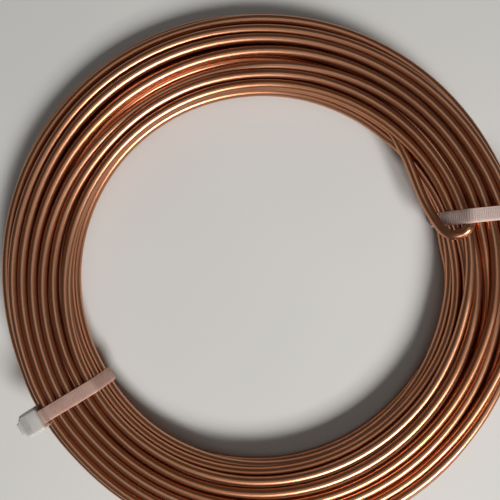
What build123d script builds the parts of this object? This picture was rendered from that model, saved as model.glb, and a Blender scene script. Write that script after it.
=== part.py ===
from build123d import *
import os
from math import cos, radians, sin, sqrt, tan

# A coil of solid copper-coloured aluminium wire, lying flat on the floor, cinched by two nylon cable ties.
# Millimetres. The ring's axis is the Z axis, and its lowest turns rest on Z = 0.

# Wire and winding, with the layers listed from the floor upwards
wire_d = 3.0
bore_r = 59.2                       # to the inner edge of the innermost turn
turns_in_layer = [6, 7, 8, 7, 6]
half_steps_out = [2, 1, 0, 1, 2]    # where each layer starts, in wire radii from the innermost turn
core_sunk = 1.2                     # how deep the core lies under the turns, so that it fills only what they hide
turn_sides = 6                      # flats of each turn's section, so that the coil lies flat on the floor

# Cable ties: a nylon strap round the bundle, with its head on the rim
strap_w = 4.5
strap_t = 1.2
tie_clearance = 0.2
draw_in = 0.5                       # how far a tie draws in each side of the bundle
head_w = 7.6                        # along the rim
head_deep = 6.0                     # outwards from the rim
head_h = 6.5
head_rise = 1.6                     # how far the head stands above its strap
head_bevel = 0.6
slot_w = 5.3                        # the mouth round the tail
slot_h = 2.8
slot_deep = 2.2
tail_w = 4.1
tail_stub = 1.5                     # what the trimmed tail stands out of the head
ties = {
    "cable_tie_left": {"angle": 225.0, "skew": 0.0},
    "cable_tie_right": {"angle": 31.2, "skew": -11.2},
}

# The wire's inner end, bent back round one tie, and laid out from the plane of that tie's strap
hooked_tie = "cable_tie_right"
hook_layer = 3                      # the layer whose first turn it leaves
hook_from = 33.0                    # degrees round the ring from the tie to where it leaves
hook_sunk = 0.25                    # how much deeper than that turn its root lies in the bundle
hook_arm_in = 10.6                  # from the arm on the top in to the arm along the bore
hook_bend_in = 6.9                  # and in to the lower bend
hook_bend_drop = 1.6                # how far the lower bend lies under the arm on the top
hook_past = 6.0                     # from the middle of the strap to the bends
hook_end = 1.8                      # from the middle of the strap to the cut end
hook_top_turn = 0.4                 # the arm on the top, in wire diameters from the top layer's first turn
hook_clear = 0.1                    # gap between that arm and the turns below it
bend_share = 0.48                   # of its shorter run that each end of a bend takes

# Worked out from the sizes above
wire_r = wire_d / 2
layer_rise = sqrt(wire_d**2 - wire_r**2)
strap_lift = strap_t + tie_clearance
layers = []
for level, (count, half_steps) in enumerate(zip(turns_in_layer, half_steps_out)):
    first_r = bore_r + wire_r + half_steps * wire_r
    turns = [first_r + turn * wire_d for turn in range(count)]
    layers.append({"z": wire_r + level * layer_rise, "turns": turns})
turn_centres = [(r, layer["z"]) for layer in layers for r in layer["turns"]]
inner_r = min(r for r, z in turn_centres)
outer_r = max(r for r, z in turn_centres)
mean_r = (inner_r + outer_r) / 2
low_z, high_z = layers[0]["z"], layers[-1]["z"]
top_z = high_z + wire_r


def convex_hull(points):
    """The corners of the smallest convex outline round some points, anticlockwise."""

    def side(run):
        corners = []
        for x, y in run:
            while len(corners) > 1:
                (ax, ay), (bx, by) = corners[-2:]
                if (bx - ax) * (y - ay) - (by - ay) * (x - ax) > 1e-6:
                    break
                corners.pop()
            corners.append((x, y))
        return corners[:-1]

    ordered = sorted(set(points))
    return side(ordered) + side(ordered[::-1])


def outline(corners, distance):
    """A face that stands a distance off some turn centres, round at its corners."""
    with BuildSketch() as face:
        with BuildLine():
            Polyline(*corners, close=True)
        make_face()
        offset(amount=distance)
    return face.sketch_local


def along_strap(r, aside):
    """How far out a turn of radius r is cut by an upright plane that passes the ring's axis."""
    return sqrt(r**2 - aside**2)


def drawn_in(aside):
    """Centres of each layer's first and last turn where a tie draws the bundle in and runs under it."""
    for layer in layers:
        z = max(layer["z"], low_z + strap_lift)
        yield along_strap(layer["turns"][0], aside) + draw_in, z
        yield along_strap(layer["turns"][-1], aside) - draw_in, z


def bend_radii(route):
    """The largest round bends that a route's runs have room for."""
    for before, corner, after in zip(route, route[1:], route[2:]):
        half_turn = radians((corner - before).get_angle(after - corner)) / 2
        yield bend_share * min((corner - before).length, (after - corner).length) / tan(half_turn)


# Each tie's upright plane, and its strap's route round the drawn-in turns and level out into the head
for name, tie in ties.items():
    heading = radians(tie["angle"] + tie["skew"])
    normal = Vector(sin(heading), -cos(heading), 0)
    aside = mean_r * sin(radians(tie["skew"]))
    tie["plane"] = Plane(origin=normal * aside, x_dir=(cos(heading), sin(heading), 0), z_dir=normal)
    tie["seat"] = convex_hull(drawn_in(aside))
    widest_u = max(u for u, z in tie["seat"])
    tie["rim"] = widest_u + wire_r
    tie["route"] = tie["seat"] + [(widest_u, high_z)]
    if name == hooked_tie:
        arm_u = along_strap(layers[-1]["turns"][0] + hook_top_turn * wire_d, aside)
        arm_z = top_z + wire_r + hook_clear
        tie["route"].append((arm_u, arm_z))
strap_top_z = top_z + strap_lift
head_z = strap_top_z + head_rise - head_h

# The coil: every turn that shows on the ring's faces, round a core that fills it below the grooves
with BuildPart() as wire_coil:
    with BuildSketch(Plane.XZ):
        add(outline(convex_hull(turn_centres), wire_r - core_sunk))
        with Locations(*turn_centres):
            RegularPolygon(wire_r, turn_sides, major_radius=False)
    revolve(axis=Axis.Z)

    # Seats where the ties draw the turns in, so that the straps lie level with the floor and the heads lie close
    for tie in ties.values():
        with BuildSketch(tie["plane"]):
            with Locations((tie["rim"] - (outer_r - inner_r) / 2, top_z / 2)):
                Rectangle(2 * (outer_r - inner_r), 2 * top_z)
            add(outline(tie["seat"], wire_r), mode=Mode.SUBTRACT)
        extrude(amount=strap_w / 2 + tie_clearance, both=True, mode=Mode.SUBTRACT)
        with BuildSketch(tie["plane"]):
            with Locations((tie["rim"], head_z - tie_clearance)):
                Rectangle(head_deep, head_h, align=(Align.MIN, Align.MIN))
        extrude(amount=head_w / 2 + tie_clearance, both=True, mode=Mode.SUBTRACT)

    # The inner end leaves its turn, passes the bore side of the strap and turns back over the bundle
    left_r = layers[hook_layer]["turns"][0] + hook_sunk * layer_rise / wire_d
    left_z = layers[hook_layer]["z"] - hook_sunk * wire_r / wire_d
    leaves = radians(ties[hooked_tie]["angle"] + hook_from)
    halfway = radians(ties[hooked_tie]["angle"] + hook_from / 2)
    strap_plane = ties[hooked_tie]["plane"]
    hook_route = [
        Vector(left_r * cos(leaves), left_r * sin(leaves), left_z),
        Vector(left_r * cos(halfway), left_r * sin(halfway), left_z),
        strap_plane.from_local_coords(Vector(arm_u - hook_arm_in, left_z, -hook_past)),
        strap_plane.from_local_coords(Vector(arm_u - hook_bend_in, arm_z - hook_bend_drop, hook_past)),
        strap_plane.from_local_coords(Vector(arm_u, arm_z, hook_past)),
        strap_plane.from_local_coords(Vector(arm_u, arm_z, -hook_end)),
    ]
    with BuildLine() as hook_path:
        FilletPolyline(*hook_route, radius=list(bend_radii(hook_route)))
    with BuildSketch(Plane(hook_path.line @ 0, z_dir=hook_path.line % 0)):
        Circle(wire_r)
    sweep(path=hook_path.line)

wire_coil.part.label = "wire_coil"
os.makedirs("parts", exist_ok=True)
export_step(wire_coil.part, "parts/wire_coil.step")

# The ties: a strap round the drawn-in turns, a head on the rim, and the tail trimmed just past the head
for name, tie in ties.items():
    head_u = tie["rim"] + tie_clearance
    tail_z = strap_top_z - strap_t / 2
    with BuildPart() as cable_tie:
        with BuildSketch(tie["plane"]):
            with Locations((head_u, head_z)):
                Rectangle(head_deep, head_h, align=(Align.MIN, Align.MIN))
        extrude(amount=head_w / 2, both=True)
        chamfer(cable_tie.edges(), length=head_bevel)
        with BuildSketch(tie["plane"]):
            add(outline(convex_hull(tie["route"]), wire_r + tie_clearance + strap_t))
            add(outline(convex_hull(tie["route"]), wire_r + tie_clearance), mode=Mode.SUBTRACT)
        extrude(amount=strap_w / 2, both=True)
        with BuildSketch(tie["plane"]):
            with Locations((head_u + head_deep - slot_deep, tail_z)):
                Rectangle(slot_deep, slot_h, align=(Align.MIN, Align.CENTER))
        extrude(amount=slot_w / 2, both=True, mode=Mode.SUBTRACT)
        with BuildSketch(tie["plane"]):
            with Locations((head_u + head_deep - slot_deep, tail_z)):
                Rectangle(slot_deep + tail_stub, strap_t, align=(Align.MIN, Align.CENTER))
        extrude(amount=tail_w / 2, both=True)
    cable_tie.part.label = name
    export_step(cable_tie.part, f"parts/{name}.step")
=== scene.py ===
from math import atan2, ceil, cos, degrees, pi, radians, sin, sqrt

import bmesh
import bpy
import numpy as np
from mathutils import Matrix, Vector


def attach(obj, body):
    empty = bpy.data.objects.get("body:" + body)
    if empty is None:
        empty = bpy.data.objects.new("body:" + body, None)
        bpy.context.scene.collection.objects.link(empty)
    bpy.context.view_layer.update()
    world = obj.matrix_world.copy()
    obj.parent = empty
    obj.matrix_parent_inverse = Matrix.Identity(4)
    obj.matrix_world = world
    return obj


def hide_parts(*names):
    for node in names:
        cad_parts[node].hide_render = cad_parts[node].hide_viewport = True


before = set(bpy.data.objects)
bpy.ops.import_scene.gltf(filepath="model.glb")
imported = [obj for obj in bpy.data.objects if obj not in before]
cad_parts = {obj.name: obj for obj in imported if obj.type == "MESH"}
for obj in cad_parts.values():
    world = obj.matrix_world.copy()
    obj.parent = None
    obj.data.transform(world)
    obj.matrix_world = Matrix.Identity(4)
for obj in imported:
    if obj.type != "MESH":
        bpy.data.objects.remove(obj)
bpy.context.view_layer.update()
mm = 0.001

# Angles are in degrees, anticlockwise from +X, seen from above.
# Sizes are in millimetres if nothing else is said.


def softStep(value):
    value = np.clip(value, 0, 1)
    return value * value * (3 - 2 * value)


def swell(angles, centre, reach, flat):  # 1 at an angle and up to flat beside it, 0 past reach
    away = np.abs((angles - centre + 180) % 360 - 180)
    return softStep((reach - away) / (reach - flat))


def drift(count, spacing, dice):  # a smooth random line, with a knot every so many points
    knots = dice.normal(size=int(count / spacing) + 4)
    at = np.arange(count) / spacing + 1
    low = at.astype(int)
    part = at - low
    a, b, c, d = (knots[low + shift] for shift in (-1, 0, 1, 2))
    return b + 0.5 * part * (c - a + part * (2 * a - 5 * b + 4 * c - d + part * (3 * (b - c) + d - a)))


# The winding: one wire of about 33 turns, settled for a set number of rounds in which overlapping turns push
# apart

winding = {
    "wire": 3.0,
    "gap": 0.02,  # kept between turns
    "boreRadius": 60.8,  # to the middle of the innermost turns
    "pitch": 3.03,
    "heldRadius": 61.0,  # the same two where a tie holds the turns
    "heldPitch": 2.8,
    "layerRise": 2.6,
    "startAngle": 64.2,  # where the hooked inner end joins the bundle
    "endAngle": 36.5,  # where the outer end stops
    "stationsPerTurn": 120,
    "stepLength": 56.0,  # degrees in which a turn steps over
    "hollowFlat": 8,  # degrees to each side in which a hollow is at its deepest
    "slotFlat": 10,  # and a slot at its widest
    "slotInward": 0.12,  # of a slot's width, how far the bore side moves in for it; the rim stays
    # Round a tie: how many degrees away what it does ends, and up to how many it is full
    "drawnIn": (32, 10),
    "still": (42, 6),
    "raised": (75, 6),
    "strapLift": 1.3,  # what a strap under the bundle raises it
    "liftEnds": 22,  # degrees from a tie to where the lowest turns are back on the floor
    # How a turn strays: aside everywhere, more where no tie holds it, and only there up and down
    "aside": 0.06,
    "looseAside": 0.2,
    "asideEvery": 24,  # stations
    "looseUp": 0.12,
    "upEvery": 20,
    # How the turns settle, round by round
    "rounds": 260,
    "pull": 0.06,  # the share of the way to its place that a turn goes in a round
    "lastPull": 0.02,  # and once this share of the rounds is over
    "lastFrom": 0.6,
    "sink": 0.02,  # in a round
    "smooth": 0.5,
    "smoothWidth": 2.2,  # stations
    "smoothEnds": 6,
    "partings": (3, 0.4),  # how many in a round, and by what share of an overlap each turn gives way
    "lastPartings": (30, 0.35),
    "seed": 7,
}
# The bundle's places in the order in which the wire fills them: the layer, counted from the floor,
# and how many pitches out from the bore
places = [
    (3, 0.5), (2, 0), (1, 0.5), (0, 1), (1, 1.5), (2, 1), (3, 1.5), (4, 1), (4, 2), (3, 2.5), (2, 2),
    (1, 2.5), (0, 2), (0, 3), (1, 3.5), (2, 3), (3, 3.5), (4, 3), (4, 4), (3, 4.5), (2, 4), (1, 4.5),
    (0, 4), (0, 5), (1, 5.5), (2, 5), (3, 5.5), (4, 5), (4, 6), (3, 6.5), (2, 6), (1, 6.5), (0, 6),
]
topLayer = max(layer for layer, out in places)
middleLayer = topLayer // 2
outermost = max(out for layer, out in places)
fallsBack = {0: 40, 18: 46, 32: 60}  # by place, how far short of full turns its step comes
topTurns = {  # by angle, the radii of the top layer's six places, and how far each lies below the top
    10: ((62.6, 65.4, 70.0, 73.8, 77.0, 80.0), (1.4, 0.0, 0.0, 0.0, 1.0, 0.4)),
    31: ((63.4, 66.8, 70.0, 73.2, 76.2, 79.2), (0.3, 0.0, 0.0, 0.0, 0.0, 0.2)),
    64: ((62.6, 66.3, 70.2, 73.4, 76.6, 80.2), (0.0, 0.0, 0.5, 0.0, 0.4, 0.8)),
    84: ((62.3, 66.2, 70.2, 73.2, 76.4, 79.8), (0.0, 0.0, 0.8, 0.0, 0.4, 1.0)),
    114: ((62.3, 66.4, 69.3, 73.2, 77.6, 80.8), (0.0, 0.0, 2.6, 0.0, 0.4, 3.1)),
    136: ((62.2, 65.9, 68.8, 72.6, 78.4, 81.6), (0.0, 0.0, 3.0, 0.0, 0.2, 4.0)),
    154: ((62.2, 66.1, 69.1, 73.6, 78.8, 82.0), (0.0, 0.0, 2.4, 0.1, 0.4, 3.6)),
    170: ((62.2, 67.4, 70.6, 73.6, 77.0, 80.6), (0.0, 0.1, 0.6, 0.2, 0.3, 1.0)),
    194: ((62.7, 67.1, 70.3, 73.4, 76.5, 79.7), (0.0, 0.0, 0.3, 0.0, 0.3, 0.3)),
    225: ((63.4, 66.5, 69.6, 72.6, 75.5, 78.3), (0.0, 0.0, 0.0, 0.0, 0.0, 0.0)),
    248: ((64.0, 67.4, 71.0, 74.4, 77.8, 81.4), (0.0, 0.7, 0.0, 0.4, 0.0, 0.8)),
    285: ((63.4, 66.4, 70.3, 74.2, 77.4, 81.0), (2.2, 0.0, 0.0, 0.0, 1.4, 0.6)),
    319: ((62.8, 66.0, 70.0, 74.0, 77.3, 81.0), (3.4, 0.0, 0.0, 0.0, 2.8, 0.3)),
    350: ((62.4, 65.4, 69.2, 73.2, 77.0, 80.6), (2.8, 0.0, 0.0, 0.0, 2.0, 0.2)),
}
topShare = (0.0, 0.15, 0.3, 0.55, 1.0)  # by layer, how far it follows the top one
sideShifts = {  # by angle, how far the bore side's middle, its foot and the rim stand out from their places
    31: (1.8, 1.6, 0.8),
    64: (1.8, 0.8, 4.2),
    114: (3.8, 0.8, 4.4),
    136: (4.2, 1.2, 8.0),
    154: (3.8, 1.0, 8.6),
    194: (2.6, 0.2, 3.0),
    225: (1.4, 0.2, 0.4),
    248: (2.8, 0.2, 4.3),
    285: (1.2, -2.4, 3.0),
    319: (0.9, -3.2, 2.0),
    350: (0.7, -3.2, 1.7),
}
hollows = (  # angle, reach, place across, and how deep the turns below the top layer sink there
    (128, 36, 2.5, 0.8),
    (142, 34, 4.5, 1.4),
    (138, 44, 5.5, 2.6),
    (142, 40, 6.5, 3.6),
    (164, 30, 1.5, 1.2),
    (310, 50, 1.0, 1.3),
    (330, 44, 5.5, 1.0),
)
slots = (  # angle, reach, place across, and how wide the layer under the top one opens there
    (128, 46, 2.0, 4.2),
    (318, 40, 4.8, 1.6),
)
tieSpots = {
    "cable_tie_left": {
        "angle": 225.0,
        "skew": 0.0,  # how far the strap is turned from straight across the bundle
        "reach": 2.5,  # degrees to each side in which the strap lifts the lowest turns in full
        "hold": 1.0,  # how closely it draws the turns in
        # painted shade: these darker tones stand for the shade the left strap lies in, and their warm tint
        # paints the copper glowing through the thin nylon
        "tones": ((0.56, 0.32, 0.25, 1), (0.66, 0.41, 0.33, 1), (0.52, 0.29, 0.21, 1)),
    },
    "cable_tie_right": {
        "angle": 31.2,
        "skew": -11.2,
        "reach": 4.5,
        "hold": 0.3,
        # painted light: these lighter tones stand for the brighter light on the right strap, and their warm
        # tint paints the copper glowing through the thin nylon
        "tones": ((0.76, 0.55, 0.48, 1), (0.84, 0.64, 0.56, 1), (0.70, 0.48, 0.41, 1)),
    },
}


def roundTies(angles, effect):  # how strongly what the nearer tie does is felt
    return np.max([swell(angles, spot["angle"], *winding[effect]) for spot in tieSpots.values()], axis=0)


def byAngle(angles, rows):  # a table's columns at every station
    columns = zip(*rows.values())
    return np.stack([np.interp(angles % 360, list(rows), entry, period=360) for entry in columns])


def fillPlaces(travelled):  # the layer and the place across at every station
    layer = np.full(len(travelled), float(places[0][0]))
    out = np.full(len(travelled), float(places[0][1]))
    back = np.interp(range(len(places)), list(fallsBack), list(fallsBack.values()))
    for step, (here, after) in enumerate(zip(places, places[1:])):
        done = softStep((travelled - 360 * (step + 1) + back[step]) / winding["stepLength"] + 0.5)
        layer += done * (after[0] - here[0])
        out += done * (after[1] - here[1])
    return layer, out


def windTargets(angles, travelled, dice):  # the radius and the height that every station makes for
    layer, out = fillPlaces(travelled)
    r = winding["boreRadius"] + winding["pitch"] * out
    z = winding["wire"] / 2 + winding["layerRise"] * layer
    lattice = winding["boreRadius"] + winding["pitch"] * np.arange(1, 7)  # the top layer's six places
    column = np.clip(out - 1, 0, 4.999)  # among those six, and always short of the last
    inner = column.astype(int)

    def byColumn(values):
        low, high = (np.take_along_axis(values, (inner + shift)[None], 0)[0] for shift in (0, 1))
        return low + (column - inner) * (high - low)

    moved = byColumn(byAngle(angles, {angle: radii - lattice for angle, (radii, _) in topTurns.items()}))
    lower = byColumn(byAngle(angles, {angle: drops for angle, (_, drops) in topTurns.items()}))
    bore, foot, rim = byAngle(angles, sideShifts)
    bore = bore + np.clip((middleLayer - layer) / middleLayer, 0, 1) * (foot - bore)
    share = np.interp(layer, range(len(topShare)), topShare)
    r += share * moved + (1 - share) * (bore + out / outermost * (rim - bore))
    z -= np.interp(layer, (middleLayer, topLayer), (0, 1)) * lower
    for angle, reach, across, deep in hollows:
        sunk = deep * swell(angles, angle, reach, winding["hollowFlat"])
        z -= sunk * np.clip(1 - np.abs(out - across), 0, 1) * np.clip(topLayer - layer, 0, 1)
    inward = winding["slotInward"]
    for angle, reach, across, wide in slots:
        opened = wide * swell(angles, angle, reach, winding["slotFlat"])
        underTop = np.clip(1 - np.abs(topLayer - 1 - layer), 0, 1)
        r += opened * underTop * ((out > across) - inward - (1 - inward) * out / outermost)
    for spot in tieSpots.values():
        heldAt = winding["heldRadius"] + winding["heldPitch"] * out
        r += spot["hold"] * swell(angles, spot["angle"], *winding["drawnIn"]) * (heldAt - r)
    z += winding["strapLift"] * roundTies(angles, "raised")
    loose = 1 - roundTies(angles, "still")
    r += (winding["aside"] + winding["looseAside"] * loose) * drift(len(angles), winding["asideEvery"], dice)
    z += winding["looseUp"] * loose * drift(len(angles), winding["upEvery"], dice)
    return np.stack([r, z], 1)


def windWire():
    perTurn = winding["stationsPerTurn"]
    unfinished = (winding["startAngle"] - winding["endAngle"]) % 360 / 360
    count = round((len(places) - unfinished) * perTurn) + 1
    travelled = np.arange(count) * 360 / perTurn
    angles = winding["startAngle"] + travelled
    targets = windTargets(angles, travelled, np.random.default_rng(winding["seed"]))
    turns = ceil(count / perTurn)
    filled = (np.arange(turns * perTurn) < count).reshape(turns, perTurn)
    pairs = filled[:, None] & filled[None] & ~np.eye(turns, dtype=bool)[..., None]
    floor = np.full(count, winding["wire"] / 2)
    for spot in tieSpots.values():
        floor += winding["strapLift"] * swell(angles, spot["angle"], winding["liftEnds"], spot["reach"])
    ends = winding["smoothEnds"]
    bell = np.exp(-0.5 * (np.arange(-ends, ends + 1) / winding["smoothWidth"]) ** 2)
    bell /= bell.sum()
    grid = np.zeros((turns * perTurn, 2))
    line = targets.copy()

    def partTurns(line, rounds, share):
        for _ in range(rounds):
            grid[:count] = line
            at = grid.reshape(turns, perTurn, 2)
            away = at[:, None] - at[None]
            apart = np.sqrt((away**2).sum(-1)) + 1e-9
            overlap = np.where(pairs, np.maximum(winding["wire"] + winding["gap"] - apart, 0), 0)
            push = (away * (share * overlap / apart)[..., None]).sum(1)
            line = line + push.reshape(-1, 2)[:count]
            line[:, 1] = np.maximum(line[:, 1], floor)
        return line

    for step in range(winding["rounds"]):
        early = step < winding["lastFrom"] * winding["rounds"]
        line += winding["pull" if early else "lastPull"] * (targets - line)
        line[:, 1] -= winding["sink"]
        longer = np.concatenate([np.repeat(line[:1], ends, 0), line, np.repeat(line[-1:], ends, 0)])
        smooth = np.stack([np.convolve(longer[:, axis], bell, "valid") for axis in (0, 1)], 1)
        line += winding["smooth"] * (smooth - line)
        line = partTurns(line, *winding["partings"])
    line = partTurns(line, *winding["lastPartings"])
    return angles, line[:, 0], line[:, 1]


angles, radii, heights = windWire()
turning = np.radians(angles)
coilPath = np.stack([radii * np.cos(turning), radii * np.sin(turning), heights], 1)
woundLength = np.linalg.norm(np.diff(coilPath, axis=0), axis=1).sum()
print("winding settled", len(coilPath), "points,", round(woundLength), "mm")


# The hooked inner end leaves the bundle, passes the bore side of the right strap and turns back under it

hook = {
    "points": [  # from the cut end to the bundle
        (56.2, 37.1, 15.6),
        (56.75, 35.3, 15.6),
        (56.75, 33.3, 15.6),
        (56.4, 31.2, 15.6),
        (55.0, 29.2, 15.4),
        (52.7, 28.1, 14.6),
        (50.2, 28.9, 13.0),
        (47.6, 31.9, 11.2),
        (43.9, 36.3, 9.8),
        (40.2, 41.3, 9.4),
        (35.0, 48.6, 9.3),
    ],
    "stepsPerRun": 6,
    "strapRuns": 3,  # from the cut end, those that lie under the strap
    "steeringStation": 6,  # the one of the bundle that its line heads for
    "ownStations": 60,  # the first of its own turn, which it isn't lifted off
    "liftFrom": 1.0,  # how far under the highest turn near it a point may lie and still be lifted
    "liftRounds": 3,
    "evenRounds": 4,
}


def throughPoints(points, steps):  # a smooth line through points; the first and the last only steer it
    points = np.asarray(points, float)
    knots = np.concatenate([[0], np.cumsum(np.sqrt(np.linalg.norm(np.diff(points, axis=0), axis=1)))])
    line = []
    for run in range(1, len(points) - 2):
        k0, k1, k2, k3 = knots[run - 1 : run + 3]
        p0, p1, p2, p3 = points[run - 1 : run + 3]
        for k in np.linspace(k1, k2, steps, endpoint=False):
            a1 = (k1 - k) / (k1 - k0) * p0 + (k - k0) / (k1 - k0) * p1
            a2 = (k2 - k) / (k2 - k1) * p1 + (k - k1) / (k2 - k1) * p2
            a3 = (k3 - k) / (k3 - k2) * p2 + (k - k2) / (k3 - k2) * p3
            b1 = (k2 - k) / (k2 - k0) * a1 + (k - k0) / (k2 - k0) * a2
            b2 = (k3 - k) / (k3 - k1) * a2 + (k - k1) / (k3 - k1) * a3
            line.append((k2 - k) / (k2 - k1) * b1 + (k - k1) / (k2 - k1) * b2)
    return np.array(line)


def clearOfTurns(line):  # lifts the hook's arm off the turns below it
    lifted = line.copy()
    turns = coilPath[hook["ownStations"] :]
    for point in lifted:
        away = np.linalg.norm(turns[:, :2] - point[:2], axis=1)
        near = away < winding["wire"]
        if near.any():
            tops = turns[:, 2][near] + np.sqrt((winding["wire"] + winding["gap"]) ** 2 - away[near] ** 2)
            if point[2] > turns[:, 2][near].max() - hook["liftFrom"]:
                point[2] = max(point[2], tops.max())
    return lifted


def evened(line, rounds):  # smoother, with its ends where they are
    line = line.copy()
    for _ in range(rounds):
        line[1:-1] += 0.5 * ((line[:-2] + line[2:]) / 2 - line[1:-1])
    return line


beforeCut = 2 * np.array(hook["points"][0]) - np.array(hook["points"][1])
intoBundle = [coilPath[0], coilPath[hook["steeringStation"]]]
hookPath = throughPoints([beforeCut, *hook["points"], *intoBundle], hook["stepsPerRun"])
for _ in range(hook["liftRounds"]):
    hookPath = evened(clearOfTurns(hookPath), hook["evenRounds"])
wirePath = np.concatenate([hookPath, coilPath])
print("hook joined", len(hookPath), "points")


def curveObject(name, points, closed=False, radii=None):  # a line through points in millimetres
    curve = bpy.data.curves.new(name, "CURVE")
    curve.dimensions = "3D"
    spline = curve.splines.new("POLY")
    spline.points.add(len(points) - 1)
    at = np.ones((len(points), 4))
    at[:, :3] = np.asarray(points) * mm
    spline.points.foreach_set("co", at.ravel())
    spline.points.foreach_set("radius", np.ones(len(points)) if radii is None else radii)
    spline.use_cyclic_u = closed
    made = bpy.data.objects.new(name, curve)
    bpy.context.collection.objects.link(made)
    return made


class Tree:  # a geometry node tree with named inputs
    def __init__(self, name, inputs):
        self.group = bpy.data.node_groups.new(name, "GeometryNodeTree")
        self.group.interface.new_socket("Geometry", in_out="INPUT", socket_type="NodeSocketGeometry")
        self.inputs = {}
        for label, (kind, value) in inputs.items():
            socket = self.group.interface.new_socket(label, in_out="INPUT", socket_type=kind)
            self.inputs[label] = (socket.identifier, value)
        self.group.interface.new_socket("Geometry", in_out="OUTPUT", socket_type="NodeSocketGeometry")
        self.start = self.group.nodes.new("NodeGroupInput")
        self.end = self.group.nodes.new("NodeGroupOutput")

    def given(self, label):
        return self.start.outputs[label]

    def node(self, kind, settings=None, sockets=None, give=0):
        made = self.group.nodes.new(kind)
        for key, value in (settings or {}).items():
            setattr(made, key, value)
        for key, value in (sockets or {}).items():
            if isinstance(value, bpy.types.NodeSocket):
                self.group.links.new(value, made.inputs[key])
            else:
                made.inputs[key].default_value = value
        return made.outputs[give]

    def madeMesh(self, obj, result):  # runs the tree on an object and keeps the result as a plain mesh
        self.group.links.new(result, self.end.inputs[0])
        modifier = obj.modifiers.new("shape", "NODES")
        modifier.node_group = self.group
        for identifier, value in self.inputs.values():
            modifier[identifier] = value
        bpy.context.view_layer.update()
        evaluated = obj.evaluated_get(bpy.context.evaluated_depsgraph_get())
        mesh = bpy.data.meshes.new_from_object(evaluated, preserve_all_data_layers=True)
        obj.modifiers.remove(modifier)
        name = obj.name
        bpy.data.objects.remove(obj)
        made = bpy.data.objects.new(name, mesh)
        mesh.name = name
        bpy.context.collection.objects.link(made)
        return made


class Flow:  # a shader socket that takes plain arithmetic
    def __init__(self, finish, socket):
        self.finish, self.socket = finish, socket

    def maths(self, operation, first, second):
        return self.finish.node("ShaderNodeMath", {"operation": operation}, {0: first, 1: second})

    def __add__(self, other):
        return self.maths("ADD", self, other)

    def __mul__(self, other):
        return self.maths("MULTIPLY", self, other)

    __radd__ = __add__
    __rmul__ = __mul__

    def between(self, low, high):  # 0 at low and 1 at high
        sockets = {"Value": self, "From Min": low, "From Max": high}
        return self.finish.node("ShaderNodeMapRange", {"clamp": True}, sockets)


class Finish:  # a material and the one method that adds its nodes
    def __init__(self, name, constants):
        self.material = bpy.data.materials.new(name)
        self.material.use_nodes = True
        self.nodes, self.links = self.material.node_tree.nodes, self.material.node_tree.links
        self.shader = self.nodes["Principled BSDF"]
        for key, value in constants.items():
            self.shader.inputs[key].default_value = value

    def node(self, kind, settings=None, sockets=None, give=0):
        made = self.nodes.new(kind)
        for key, value in (settings or {}).items():
            setattr(made, key, value)
        for key, value in (sockets or {}).items():
            if isinstance(value, Flow):
                self.links.new(value.socket, made.inputs[key])
            else:
                made.inputs[key].default_value = value
        return Flow(self, made.outputs[give])

    def feed(self, **sockets):
        for key, value in sockets.items():
            self.links.new(value.socket, self.shader.inputs[key.replace("_", " ")])

    def place(self):
        return self.node("ShaderNodeTexCoord", give="Object")

    def scaled(self, vector, scale):
        return self.node("ShaderNodeVectorMath", {"operation": "MULTIPLY"}, {0: vector, 1: scale})

    def noise(self, vector, scale, detail):
        return self.node("ShaderNodeTexNoise", {}, {"Vector": vector, "Scale": scale, "Detail": detail})

    def blended(self, factor, first, second):  # a mix of two colours
        return self.node("ShaderNodeMix", {"data_type": "RGBA"}, {0: factor, 6: first, 7: second}, give=2)

    def bumped(self, strength, distance, height):
        return self.node("ShaderNodeBump", {}, {"Strength": strength, "Distance": distance, "Height": height})


# The wire is copper-coloured anodised aluminium, drawn through a die

wireFinish = {
    "copper": (0.58, 0.252, 0.128, 1),
    "brown": (0.37, 0.148, 0.07, 1),
    "rosy": (0.61, 0.305, 0.188, 1),
    "drawnLines": 12.0,  # across the wire
    "lineChanges": 9.0,  # of those lines, in a metre of the wire
    "toneChanges": 5.0,  # between copper and rosy, in a metre of the wire
    "patches": 45.0,  # in a metre
    "toneRange": (0.35, 0.65),  # of the noise, from all copper to all rosy
    "patchRange": (0.45, 0.8),  # and up to a patch's full brown
    "patchBrown": 0.55,
    "lineRange": (0.35, 0.75),  # and up to a line's
    "lineBrown": 0.25,
    "roughness": (0.25, 0.37),  # the least and the most
    "roughRange": (0.3, 0.7),  # of the noise, from one to the other
    "roughShares": (0.6, 0.4),  # what the lines and the patches each do of that
    "bumpStrength": 0.1,
    "bumpHeight": 0.03,
    "sides": 20,
    "cutBevel": 0.25,
    "cutShare": 0.82,  # of the wire's radius, at a cut end
}


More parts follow.
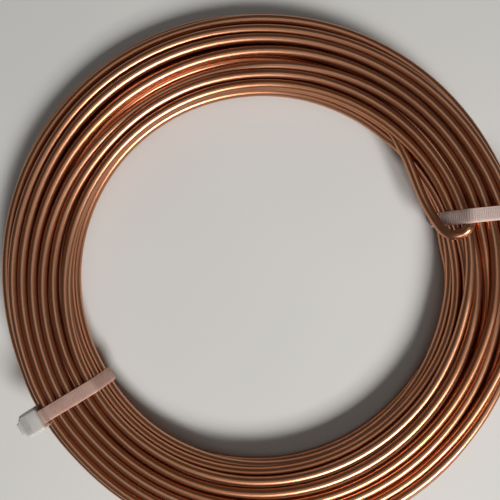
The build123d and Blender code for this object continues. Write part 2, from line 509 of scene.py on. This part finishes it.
def makeWireFinish():
    finish = Finish("copper_anodised_wire", {"Metallic": 1.0, "Coat Weight": 0.0, "IOR": 1.5})
    side = finish.node("ShaderNodeAttribute", {"attribute_name": "side"}, give="Vector")
    along = finish.node("ShaderNodeAttribute", {"attribute_name": "along"}, give="Fac")
    run = finish.node("ShaderNodeCombineXYZ", {}, {"Z": along})
    acrossLines = finish.scaled(side, (wireFinish["drawnLines"],) * 3)
    alongLines = finish.scaled(run, (0, 0, wireFinish["lineChanges"]))
    lineSpot = finish.node("ShaderNodeVectorMath", {"operation": "ADD"}, {0: acrossLines, 1: alongLines})
    lines = finish.noise(lineSpot, 1.0, detail=2.0)
    slow = finish.noise(finish.scaled(run, (0, 0, wireFinish["toneChanges"])), 1.0, detail=2.0)
    patches = finish.noise(finish.place(), wireFinish["patches"], detail=3.0)
    tone = finish.blended(slow.between(*wireFinish["toneRange"]), wireFinish["copper"], wireFinish["rosy"])
    inPatches = patches.between(*wireFinish["patchRange"]) * wireFinish["patchBrown"]
    tone = finish.blended(inPatches, tone, wireFinish["brown"])
    inLines = lines.between(*wireFinish["lineRange"]) * wireFinish["lineBrown"]
    tone = finish.blended(inLines, tone, wireFinish["brown"])
    least, most = wireFinish["roughness"]
    lineShare, patchShare = wireFinish["roughShares"]
    roughLines = lines.between(*wireFinish["roughRange"]) * (lineShare * (most - least))
    roughPatches = patches.between(*wireFinish["roughRange"]) * (patchShare * (most - least))
    bump = finish.bumped(wireFinish["bumpStrength"], wireFinish["bumpHeight"] * mm, lines)
    finish.feed(Base_Color=tone, Roughness=roughLines + roughPatches + least, Normal=bump)
    return finish.material


def makeWire(material):
    ends = [wirePath[0], wirePath[-1]]
    inward = [wirePath[1] - wirePath[0], wirePath[-2] - wirePath[-1]]
    bevels = [end + step / np.linalg.norm(step) * wireFinish["cutBevel"] for end, step in zip(ends, inward)]
    points = np.concatenate([[ends[0], bevels[0]], wirePath[1:-1], [bevels[1], ends[1]]])
    radii = np.ones(len(points))
    radii[[0, -1]] = wireFinish["cutShare"]
    made = curveObject("wound_wire", points, radii=radii)
    tree = Tree("wire along its winding", {
        "Wire Radius": ("NodeSocketFloat", winding["wire"] / 2 * mm),
        "Sides": ("NodeSocketInt", wireFinish["sides"]),
        "Finish": ("NodeSocketMaterial", material),
    })
    length = tree.node("GeometryNodeSplineParameter", give="Length")
    path = tree.node("GeometryNodeStoreNamedAttribute", {"data_type": "FLOAT", "domain": "POINT"},
                     {"Geometry": tree.given("Geometry"), "Name": "along", "Value": length})
    profile = tree.node("GeometryNodeCurvePrimitiveCircle", {"mode": "RADIUS"},
                        {"Resolution": tree.given("Sides"), "Radius": tree.given("Wire Radius")})
    profileSpot = tree.node("ShaderNodeVectorMath", {"operation": "NORMALIZE"},
                            {0: tree.node("GeometryNodeInputPosition")})
    profile = tree.node("GeometryNodeStoreNamedAttribute", {"data_type": "FLOAT_VECTOR", "domain": "POINT"},
                        {"Geometry": profile, "Name": "side", "Value": profileSpot})
    skin = tree.node("GeometryNodeCurveToMesh", {},
                     {"Curve": path, "Profile Curve": profile, "Fill Caps": True})
    smooth = tree.node("GeometryNodeSetShadeSmooth", {}, {"Geometry": skin, "Shade Smooth": True})
    whole = tree.node("GeometryNodeRealizeInstances", {}, {"Geometry": smooth})
    dressed = tree.node("GeometryNodeSetMaterial", {}, {"Geometry": whole, "Material": tree.given("Finish")})
    return tree.madeMesh(made, dressed)


wire = makeWire(makeWireFinish())
print("wire made", len(wire.data.polygons), "faces")
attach(wire, "root")
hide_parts("wire_coil")


# Each cable tie is a strap drawn round the settled turns, a head on the rim and its trimmed tail

tieShape = {
    "middleRadius": 71.2,  # where each strap's plane crosses the bundle at its angle
    "strapWidth": 4.5,
    "strapThick": 1.1,
    "strapGap": 0.06,
    "strapEdge": 0.3,
    "strapEdgeSteps": 3,
    "pointEvery": 0.8,  # on the strap's straight runs
    "pointTurn": 12,  # degrees between points on its bends
    "shoulderDeep": 2.0,  # how far below the top the turn may lie at which the strap goes down
    "ribEvery": 0.62,
    "ribLong": 3.0,
    "ribWide": 0.26,
    "ribHigh": 0.1,
    "headWide": 7.6,  # along the rim
    "headDeep": 6.0,  # outwards
    "headHigh": 5.8,
    "headRise": 0.9,  # above the strap
    "headGap": 0.1,
    "headCorner": 1.1,
    "headRound": 0.8,  # of its back and front edges
    "roundSteps": 4,
    "slotWide": 5.3,
    "slotHigh": 2.8,
    "slotDeep": 2.2,
    "slotBevel": 0.15,
    "slotCorners": (0.35, 0.3),  # at its mouth and inside
    "tailWide": 4.1,
    "tailOut": 1.6,
    "tailRoot": 0.4,  # how far it starts behind the slot's end
    "tailBevel": 0.15,
    "tailTaper": 0.25,
    "tailCorners": (0.25, 0.2),  # along it and at its end
    "pawl": (  # by section: out from the slot's end, narrower than the tail, height, corner, above the tail
        (-0.2, 0.6, 0.7, 0.2, 0.42),
        (1.5, 0.6, 0.55, 0.2, 0.36),
        (1.65, 0.9, 0.3, 0.12, 0.34),
    ),
    "neckReach": (0.5, 1.0),  # back into the strap, and out into the head
    "sharpFrom": 35,  # degrees between two faces whose edge stays sharp
}
nylonFinish = {
    "headTones": ((0.54, 0.52, 0.48, 1), (0.63, 0.61, 0.57, 1), (0.57, 0.52, 0.47, 1)),
    "mottle": 260.0,  # in a metre, like the next two
    "clouds": 60.0,
    "grain": 1800.0,
    "mottleRange": (0.3, 0.7),  # of the noise, from the first tone to the second
    "cloudRange": (0.4, 0.7),
    "cloudShare": 0.4,  # how far a cloud takes on the third tone
    "roughness": 0.34,
    "mottleRoughness": 0.14,  # what the mottle adds
    "mottleBump": 0.5,  # beside the grain's 1
    "bumpStrength": 0.2,
    "bumpHeight": 0.05,
}


def tiePlane(spot):  # a tie's upright plane: its origin, the way out along the strap, and its normal
    heading = radians(spot["angle"] + spot["skew"])
    normal = np.array([sin(heading), -cos(heading), 0])
    aside = tieShape["middleRadius"] * sin(radians(spot["skew"]))
    return normal * aside, np.array([cos(heading), sin(heading), 0]), normal


def crossings(spot):  # where the wire crosses a tie's plane, out along the strap and up
    origin, outward, normal = tiePlane(spot)
    away = (wirePath - origin) @ normal
    underStrap = hook["strapRuns"] * hook["stepsPerRun"]
    found = []
    for i in np.nonzero(away[:-1] * away[1:] <= 0)[0]:
        if underStrap < i < len(hookPath):  # the hook's other arm passes outside the strap
            continue
        share = away[i] / (away[i] - away[i + 1] + 1e-12)
        point = wirePath[i] + share * (wirePath[i + 1] - wirePath[i]) - origin
        if point @ outward > 0:
            found.append((point @ outward, point[2]))
    return found


def hull(points):  # the corners of a line drawn tight round points, anticlockwise
    def side(run):
        corners = []
        for x, y in run:
            while len(corners) > 1:
                (ax, ay), (bx, by) = corners[-2:]
                if (bx - ax) * (y - ay) - (by - ay) * (x - ax) > 1e-6:
                    break
                corners.pop()
            corners.append((x, y))
        return corners[:-1]

    ordered = sorted(set(points))
    return side(ordered) + side(ordered[::-1])


def ringRound(corners, distance):  # a closed line that runs a distance off some corners, round at each
    line = []
    for before, corner, after in zip([corners[-1], *corners[:-1]], corners, [*corners[1:], corners[0]]):
        first = atan2(corner[1] - before[1], corner[0] - before[0]) - pi / 2
        last = atan2(after[1] - corner[1], after[0] - corner[0]) - pi / 2
        turn = (last - first) % (2 * pi)
        steps = max(1, round(degrees(turn) / tieShape["pointTurn"]))
        for step in range(steps + 1):
            at = first + turn * step / steps
            line.append((corner[0] + distance * cos(at), corner[1] + distance * sin(at)))
    return line


def filledRuns(line, spacing):  # points added on the straight runs of a closed line
    full = []
    for (ax, ay), (bx, by) in zip(line, [*line[1:], line[0]]):
        steps = max(1, round(sqrt((bx - ax) ** 2 + (by - ay) ** 2) / spacing))
        full += [(ax + (bx - ax) * step / steps, ay + (by - ay) * step / steps) for step in range(steps)]
    return [point for i, point in enumerate(full) if i == 0 or point != full[i - 1]]


def roundedRectangle(wide, high, corner):
    across, up = wide / 2 - corner, high / 2 - corner
    steps = tieShape["roundSteps"]
    points = []
    for quarter, (x, y) in enumerate(((1, 1), (-1, 1), (-1, -1), (1, -1))):
        for step in range(steps + 1):
            at = (quarter + step / steps) * pi / 2
            points.append((x * across + corner * cos(at), y * up + corner * sin(at)))
    return points


def loft(builder, rings):  # rings of points in millimetres, joined by quads and closed at both ends
    made = [[builder.verts.new(Vector(point) * mm) for point in ring] for ring in rings]
    for first, second in zip(made, made[1:]):
        for i in range(len(first)):
            j = (i + 1) % len(first)
            builder.faces.new((first[i], first[j], second[j], second[i]))
    builder.faces.new(made[0][::-1])
    builder.faces.new(made[-1])


def shadeSoftly(mesh):
    mesh.polygons.foreach_set("use_smooth", [True] * len(mesh.polygons))
    mesh.set_sharp_from_angle(angle=radians(tieShape["sharpFrom"]))


def meshObject(name, builder, material):
    bmesh.ops.recalc_face_normals(builder, faces=builder.faces)
    mesh = bpy.data.meshes.new(name)
    builder.to_mesh(mesh)
    builder.free()
    mesh.materials.append(material)
    shadeSoftly(mesh)
    made = bpy.data.objects.new(name, mesh)
    bpy.context.collection.objects.link(made)
    return made


def makeNylonFinish(name, tones):
    finish = Finish(name, {
        "Metallic": 0.0, "IOR": 1.5, "Subsurface Weight": 0.35, "Subsurface Scale": 0.0015,
        "Subsurface Radius": (1.0, 0.8, 0.65), "Transmission Weight": 0.15,
    })
    mottle = finish.noise(finish.place(), nylonFinish["mottle"], detail=3.0)
    clouds = finish.noise(finish.place(), nylonFinish["clouds"], detail=2.0)
    tone = finish.blended(mottle.between(*nylonFinish["mottleRange"]), tones[0], tones[1])
    inClouds = clouds.between(*nylonFinish["cloudRange"]) * nylonFinish["cloudShare"]
    tone = finish.blended(inClouds, tone, tones[2])
    grain = finish.noise(finish.place(), nylonFinish["grain"], detail=3.0)
    rough = mottle * nylonFinish["mottleRoughness"] + nylonFinish["roughness"]
    height = grain + mottle * nylonFinish["mottleBump"]
    bump = finish.bumped(nylonFinish["bumpStrength"], nylonFinish["bumpHeight"] * mm, height)
    finish.feed(Base_Color=tone, Roughness=rough, Normal=bump)
    return finish.material


def makeStrap(name, spot, material):  # the band and its cross ribs, along a closed line in the tie's plane
    origin, outward, normal = tiePlane(spot)
    found = crossings(spot)
    top = max(z for u, z in hull(found) if u > tieShape["middleRadius"])
    shoulder = max(u for u, z in found if z > top - tieShape["shoulderDeep"])
    corners = hull([*found, (shoulder, top)])
    reach = winding["wire"] / 2 + tieShape["strapGap"] + tieShape["strapThick"] / 2
    line = filledRuns(ringRound(corners, reach), tieShape["pointEvery"])
    start = max(range(len(line)), key=lambda i: (round(line[i][1], 2), line[i][0]))  # the top's outer end
    line = line[start:] + line[:start]
    points = [origin + outward * u + np.array([0, 0, z]) for u, z in line]
    made = curveObject(name, points, closed=True)
    tree = Tree("ribbed strap", {
        "Strap Width": ("NodeSocketFloat", tieShape["strapWidth"] * mm),
        "Strap Thickness": ("NodeSocketFloat", tieShape["strapThick"] * mm),
        "Edge Round": ("NodeSocketFloat", tieShape["strapEdge"] * mm),
        "Rib Spacing": ("NodeSocketFloat", tieShape["ribEvery"] * mm),
        "Rib Length": ("NodeSocketFloat", tieShape["ribLong"] * mm),
        "Rib Width": ("NodeSocketFloat", tieShape["ribWide"] * mm),
        "Rib Height": ("NodeSocketFloat", (tieShape["strapThick"] + 2 * tieShape["ribHigh"]) * mm),
        "Finish": ("NodeSocketMaterial", material),
    })
    profile = tree.node("GeometryNodeCurvePrimitiveQuadrilateral", {"mode": "RECTANGLE"},
                        {"Width": tree.given("Strap Width"), "Height": tree.given("Strap Thickness")})
    profile = tree.node("GeometryNodeFilletCurve", {"mode": "POLY"}, {
        "Curve": profile, "Count": tieShape["strapEdgeSteps"], "Radius": tree.given("Edge Round"),
        "Limit Radius": True})
    band = tree.node("GeometryNodeCurveToMesh", {},
                     {"Curve": tree.given("Geometry"), "Profile Curve": profile})
    ribSize = tree.node("ShaderNodeCombineXYZ", {}, {
        "X": tree.given("Rib Length"), "Y": tree.given("Rib Height"), "Z": tree.given("Rib Width")})
    rib = tree.node("GeometryNodeMeshCube", {}, {"Size": ribSize})
    ribSpots = tree.node("GeometryNodeCurveToPoints", {"mode": "LENGTH"},
                         {"Curve": tree.given("Geometry"), "Length": tree.given("Rib Spacing")})
    ribs = tree.node("GeometryNodeInstanceOnPoints", {},
                     {"Points": ribSpots, "Instance": rib, "Rotation": ribSpots.node.outputs["Rotation"]})
    both = tree.node("GeometryNodeJoinGeometry", {}, {0: ribs})
    tree.group.links.new(band, both.node.inputs[0])  # the same socket takes both
    whole = tree.node("GeometryNodeRealizeInstances", {}, {"Geometry": both})
    dressed = tree.node("GeometryNodeSetMaterial", {}, {"Geometry": whole, "Material": tree.given("Finish")})
    strap = tree.madeMesh(made, dressed)
    shadeSoftly(strap.data)
    return strap, shoulder, top + winding["wire"] / 2


def makeHead(name, spot, shoulder, topAt, headMaterial, strapMaterial):  # the head, its tail and the neck
    origin, outward, normal = tiePlane(spot)
    shape = tieShape
    strapTop = topAt + shape["strapGap"] + shape["strapThick"]
    middle = strapTop + shape["headRise"] - shape["headHigh"] / 2
    tailAt = strapTop - shape["strapThick"] / 2
    back = shoulder + winding["wire"] / 2 + shape["headGap"]
    front = back + shape["headDeep"]
    slotEnd = front - shape["slotDeep"]
    edge, steps = shape["headRound"], shape["roundSteps"]

    def ring(u, wide, high, corner, level):
        return [origin + outward * u + normal * x + np.array([0, 0, level + y])
                for x, y in roundedRectangle(wide, high, corner)]

    def headRing(u, inset):
        wide, high = shape["headWide"] - 2 * inset, shape["headHigh"] - 2 * inset
        return ring(u, wide, high, shape["headCorner"] - 0.5 * inset, middle)

    rings = [headRing(back, edge)]
    for step in range(1, steps + 1):
        at = step / steps * pi / 2
        rings.append(headRing(back + edge * (1 - cos(at)), edge * (1 - sin(at))))
    for step in range(steps + 1):
        at = step / steps * pi / 2
        rings.append(headRing(front - edge * (1 - sin(at)), edge * (1 - cos(at))))
    wide, high, bevel = shape["slotWide"], shape["slotHigh"], shape["slotBevel"]
    mouthCorner, corner = shape["slotCorners"]
    rings.append(ring(front, wide + 2 * bevel, high + 2 * bevel, mouthCorner, tailAt))
    rings.append(ring(front - bevel, wide, high, corner, tailAt))
    rings.append(ring(slotEnd, wide, high, corner, tailAt))
    builder = bmesh.new()
    loft(builder, rings)

    wide, thick, taper = shape["tailWide"], shape["strapThick"], shape["tailTaper"]
    corner, endCorner = shape["tailCorners"]
    end = front + shape["tailOut"]
    loft(builder, [
        ring(slotEnd - shape["tailRoot"], wide, thick, corner, tailAt),
        ring(end - shape["tailBevel"], wide, thick, corner, tailAt),
        ring(end, wide - taper, thick - taper, endCorner, tailAt),
    ])
    loft(builder, [
        ring(slotEnd + out, wide - narrower, high, corner, tailAt + thick / 2 + above)
        for out, narrower, high, corner, above in shape["pawl"]
    ])
    head = meshObject(name + "_head", builder, headMaterial)

    neck = bmesh.new()
    intoStrap, intoHead = shape["neckReach"]
    loft(neck, [
        ring(u, shape["strapWidth"], thick, shape["strapEdge"], tailAt)
        for u in (shoulder - intoStrap, back + intoHead)
    ])
    return [head, meshObject(name + "_neck", neck, strapMaterial)]


def joined(name, objects):
    first = objects[0]
    with bpy.context.temp_override(active_object=first, selected_editable_objects=objects, object=first):
        bpy.ops.object.join()
    first.name = name
    return first


headFinish = makeNylonFinish("natural_nylon", nylonFinish["headTones"])
for node, spot in tieSpots.items():
    # each strap gets the same nylon with painted light and shade of its own, and a painted copper glow
    strapPaintedLightFinish = makeNylonFinish(node.replace("cable_tie", "nylon_painted_light_and_shade"), spot["tones"])
    strap, shoulder, topAt = makeStrap(node.replace("cable_tie", "strap"), spot, strapPaintedLightFinish)
    head = makeHead(node, spot, shoulder, topAt, headFinish, strapPaintedLightFinish)
    tie = joined(node.replace("cable_tie", "nylon_tie"), [*head, strap])
    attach(tie, "root")
    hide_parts(node)
    print(tie.name, "made", len(tie.data.polygons), "faces")


stage = {
    "floorSize": 3.0,  # metres, as are the softboxes' sizes and how far away they are
    "floorColour": (0.70, 0.685, 0.655, 1),
    "floorShade": 0.95,  # what its clouds keep of that colour
    "floorClouds": 9.0,  # in a metre
    "floorRange": (0.3, 0.7),  # of the noise
    "softboxes": {
        "key_softbox": {
            "angle": 315.0,
            "height": 42.0,  # degrees above the floor
            "away": 1.1,
            "size": (0.46, 0.38),
            "spread": 120.0,  # keeps the floor under it from clipping
            "power": 5.8,
        },
        "top_softbox": {
            "angle": 0.0,
            "height": 90.0,
            "away": 1.0,
            "size": (0.5, 0.5),
            "spread": 180.0,
            "power": 0.45,
        },
    },
    "worldColour": (1.0, 0.98, 0.95, 1),
    "worldStrength": 0.085,
    "cameraSpot": (-7.12, 8.53, 178.5),
    "cameraTurn": 14.0,
    "cameraNear": 5.0,
    "lens": 38.0,
    "sensor": 36.0,
}


def makeFloor():
    builder = bmesh.new()
    half = stage["floorSize"] / 2
    corners = ((-half, -half), (half, -half), (half, half), (-half, half))
    builder.faces.new([builder.verts.new((x, y, 0)) for x, y in corners])
    finish = Finish("matt_floor", {"Roughness": 0.9, "Specular IOR Level": 0.2})
    clouds = finish.noise(finish.place(), stage["floorClouds"], detail=2.0)
    shade = (*(part * stage["floorShade"] for part in stage["floorColour"][:3]), 1)
    tone = finish.blended(clouds.between(*stage["floorRange"]), stage["floorColour"], shade)
    finish.feed(Base_Color=tone)
    made = meshObject("floor", builder, finish.material)


def makeSoftbox(name, angle, height, away, size, spread, power):
    lamp = bpy.data.lights.new(name, "AREA")
    lamp.shape = "RECTANGLE"
    lamp.size, lamp.size_y = size
    lamp.energy = power
    lamp.spread = radians(spread)
    made = bpy.data.objects.new(name, lamp)
    bpy.context.collection.objects.link(made)
    level = cos(radians(height))
    way = Vector((cos(radians(angle)) * level, sin(radians(angle)) * level, sin(radians(height))))
    made.location = way * away
    made.rotation_euler = way.to_track_quat("Z", "Y").to_euler()


def makeWorld():
    world = bpy.data.worlds.new("studio")
    bpy.context.scene.world = world
    world.use_nodes = True
    background = world.node_tree.nodes["Background"]
    background.inputs["Color"].default_value = stage["worldColour"]
    background.inputs["Strength"].default_value = stage["worldStrength"]


def makeCamera():
    camera = bpy.data.objects.new("camera", bpy.data.cameras.new("camera"))
    bpy.context.collection.objects.link(camera)
    camera.location = Vector(stage["cameraSpot"]) * mm
    camera.rotation_euler = (0, 0, radians(stage["cameraTurn"]))
    camera.data.lens = stage["lens"]
    camera.data.sensor_width = stage["sensor"]
    camera.data.clip_start = stage["cameraNear"] * mm
    bpy.context.scene.camera = camera


makeFloor()
for name, softbox in stage["softboxes"].items():
    makeSoftbox(name, **softbox)
makeWorld()
makeCamera()
bpy.context.scene.view_settings.view_transform = "Standard"

print("scene made")
